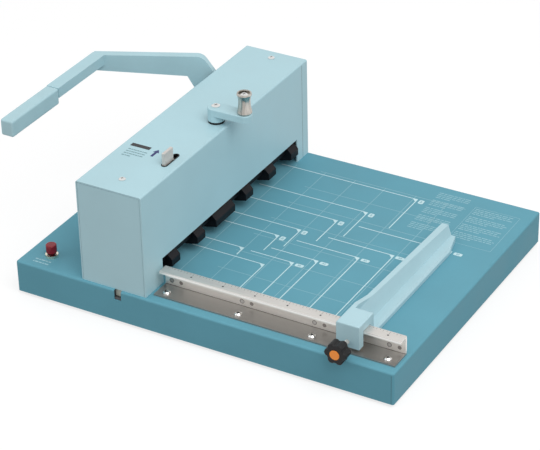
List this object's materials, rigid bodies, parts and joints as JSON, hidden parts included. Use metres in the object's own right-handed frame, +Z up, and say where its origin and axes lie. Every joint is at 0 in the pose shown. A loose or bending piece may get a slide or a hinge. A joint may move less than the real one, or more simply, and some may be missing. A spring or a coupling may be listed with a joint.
{
  "type": "stack paper cutter",
  "caption": "Manual lever stack paper cutter with a boxed cutting head, crank-down toothed paper clamp, side rail, sliding back gauge with star knob and printed size guides on a steel base",
  "frame": {"origin": "centre of the base footprint in the plane of the foot undersides, where the machine meets the table", "axes": "+X is the feed direction from the cutting head to the back gauge, +Y runs along the cutting line away from the side rail, +Z is up"},
  "size_m": [0.6546, 0.4828, 0.2673],
  "materials": {
    "tray_paint": "satin teal-blue paint",
    "cover_paint": "satin pale blue-green paint",
    "lever_paint": "satin pale blue-green paint",
    "gauge_paint": "satin pale blue paint on a casting",
    "steel": "brushed stainless sheet",
    "chrome": "polished plating",
    "blade_steel": "ground tool steel",
    "frame_iron": "machined iron",
    "clamp_black": "satin black",
    "black_plastic": "matte",
    "orange_plastic": "gloss",
    "red_plastic": "gloss",
    "stick_plastic": "matte",
    "grip_plastic": "satin moulded sleeve",
    "rubber": "matte",
    "brass": "satin",
    "lamp_lens": "clear lens"
  },
  "bodies": {
    "base": {"base_tray": "tray_paint", "bottom_plate": "tray_paint", "rubber_feet": "rubber", "foot_screws": "steel", "deck_stiffeners": "steel", "stick_bed": "frame_iron", "cutting_stick": "stick_plastic", "frame_bolts": "steel", "side_plate_near": "frame_iron", "side_plate_far": "frame_iron", "cross_beam": "frame_iron", "beam_bolts": "steel", "clamp_guide_rods": "steel", "lever_bushes": "brass", "cut_line_lamp": "lamp_lens", "head_cover": "cover_paint", "end_panel_near": "cover_paint", "end_panel_far": "cover_paint", "cover_screws": "chrome", "lever_slot_trim": "rubber", "crank_washer": "black_plastic", "lock_slot_liner": "black_plastic", "lock_guide": "black_plastic", "side_rail": "steel", "guide_strip": "steel", "rail_rivets": "steel", "rail_bolts": "chrome", "switch_body": "black_plastic", "switch_nut": "brass", "battery_box": "black_plastic"},
    "lever": {"lever_shaft": "steel", "shaft_collars": "steel", "drive_cranks": "frame_iron", "drive_pins": "steel", "lever_arm": "lever_paint", "lever_grip": "grip_plastic"},
    "carriage": {"blade": "blade_steel", "blade_screws": "steel", "blade_carrier": "frame_iron", "drive_yokes": "steel"},
    "clamp": {"clamp_bar": "clamp_black", "clamp_nut": "brass"},
    "crank": {"clamp_spindle": "steel", "crank_arm": "lever_paint", "crank_screw": "chrome", "knob_post": "steel", "knob_screw": "chrome"},
    "crank_knob": {"spool_knob": "chrome"},
    "gauge": {"gauge_casting": "gauge_paint", "gauge_pad": "brass"},
    "gauge_knob": {"gauge_screw": "steel", "star_knob": "black_plastic", "knob_cap": "orange_plastic"},
    "lock": {"lock_tab": "steel"},
    "button": {"button_cap": "red_plastic"}
  },
  "joints": [
    {"name": "lever_swing", "type": "hinge", "parent": "base", "child": "lever", "pos_m": [-0.1475, 0, 0.165], "axis": [0, -1, 0], "range_deg": [0, 40]},
    {"name": "blade_drop", "type": "slide", "parent": "base", "child": "carriage", "axis": [0, 0, -1], "range_m": [0, 0.0206]},
    {"name": "crank_turn", "type": "hinge", "parent": "base", "child": "crank", "pos_m": [-0.1045, 0.0045, 0.2], "axis": [0, 0, -1], "range_deg": [-361, 1055]},
    {"name": "clamp_drop", "type": "slide", "parent": "base", "child": "clamp", "axis": [0, 0, -1], "range_m": [-0.004, 0.0117]},
    {"name": "knob_spin", "type": "hinge", "parent": "crank", "child": "crank_knob", "pos_m": [-0.0575, 0.0045, 0.25], "axis": [0, 0, 1], "continuous": true},
    {"name": "gauge_slide", "type": "slide", "parent": "base", "child": "gauge", "axis": [1, 0, 0], "range_m": [-0.27, 0.05]},
    {"name": "gauge_knob_turn", "type": "hinge", "parent": "gauge", "child": "gauge_knob", "pos_m": [0.2205, -0.25, 0.0705], "axis": [0, 1, 0], "range_deg": [-360, 90]},
    {"name": "lock_slide", "type": "slide", "parent": "base", "child": "lock", "axis": [0, 1, 0], "range_m": [0, 0.012]},
    {"name": "button_press", "type": "slide", "parent": "base", "child": "button", "axis": [0, 0, -1], "range_m": [0, 0.003], "stiffness_N_per_m": 400, "springref_m": -0.002}
  ],
  "couplings": [
    {"joint": "blade_drop", "follows": "lever_swing", "m_per_rad": 0.029394},
    {"joint": "crank_turn", "follows": "clamp_drop", "rad_per_m": 1570.8}
  ]
}
